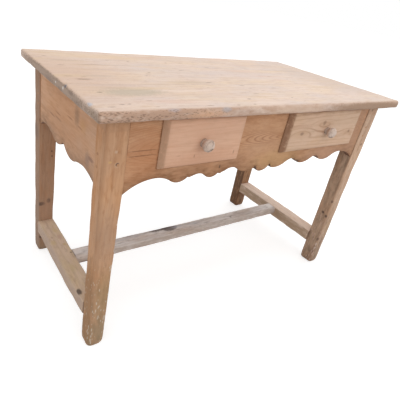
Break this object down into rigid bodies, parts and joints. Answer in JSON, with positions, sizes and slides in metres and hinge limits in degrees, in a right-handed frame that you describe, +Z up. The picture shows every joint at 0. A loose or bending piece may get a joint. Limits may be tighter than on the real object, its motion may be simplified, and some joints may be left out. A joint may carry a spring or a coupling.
{
  "type": "farmhouse table",
  "caption": "Stripped pine farmhouse table with sliding drawers in a scalloped apron, tapered legs and an H of stretchers.",
  "frame": {"origin": "on the floor under the centre of the top", "axes": "+X along the table to the right seen from the front, +Y from the drawers to the back, +Z up"},
  "size_m": [1.222, 0.6412, 0.78],
  "materials": {
    "top": "bare stripped pine, bleached and worn",
    "base": "bare stripped pine, warm tan",
    "drawer_face": "bare stripped pine, pinkish tan",
    "stretcher": "bare stripped pine, greyed",
    "inner": "bare sawn pine, unfinished",
    "knob": "turned wood, limed grey",
    "peg": "dark oiled wood",
    "screw": "plain steel"
  },
  "bodies": {
    "table": {"top_board_front": "top", "top_board_middle": "top", "top_board_back": "top", "top_splines": "inner", "front_left_leg": "base", "front_right_leg": "base", "back_left_leg": "base", "back_right_leg": "base", "front_apron": "base", "back_apron": "base", "left_apron": "base", "right_apron": "base", "left_stretcher": "stretcher", "right_stretcher": "stretcher", "centre_stretcher": "stretcher", "apron_pegs": "peg", "stretcher_pegs": "peg", "top_buttons": "inner", "top_screws": "screw", "left_drawer_left_runner": "inner", "left_drawer_right_runner": "inner", "left_drawer_kicker": "inner", "right_drawer_left_runner": "inner", "right_drawer_right_runner": "inner", "right_drawer_kicker": "inner"},
    "left_drawer": {"left_drawer_front": "drawer_face", "left_drawer_left_side": "inner", "left_drawer_right_side": "inner", "left_drawer_back": "inner", "left_drawer_bottom": "inner", "left_drawer_pins": "peg", "left_drawer_knob": "knob"},
    "right_drawer": {"right_drawer_front": "drawer_face", "right_drawer_left_side": "inner", "right_drawer_right_side": "inner", "right_drawer_back": "inner", "right_drawer_bottom": "inner", "right_drawer_pins": "peg", "right_drawer_knob": "knob"}
  },
  "joints": [
    {"name": "left_drawer_slide", "type": "slide", "parent": "table", "child": "left_drawer", "axis": [0, -1, 0], "range_m": [0, 0.32]},
    {"name": "right_drawer_slide", "type": "slide", "parent": "table", "child": "right_drawer", "axis": [0, -1, 0], "range_m": [0, 0.32]}
  ]
}
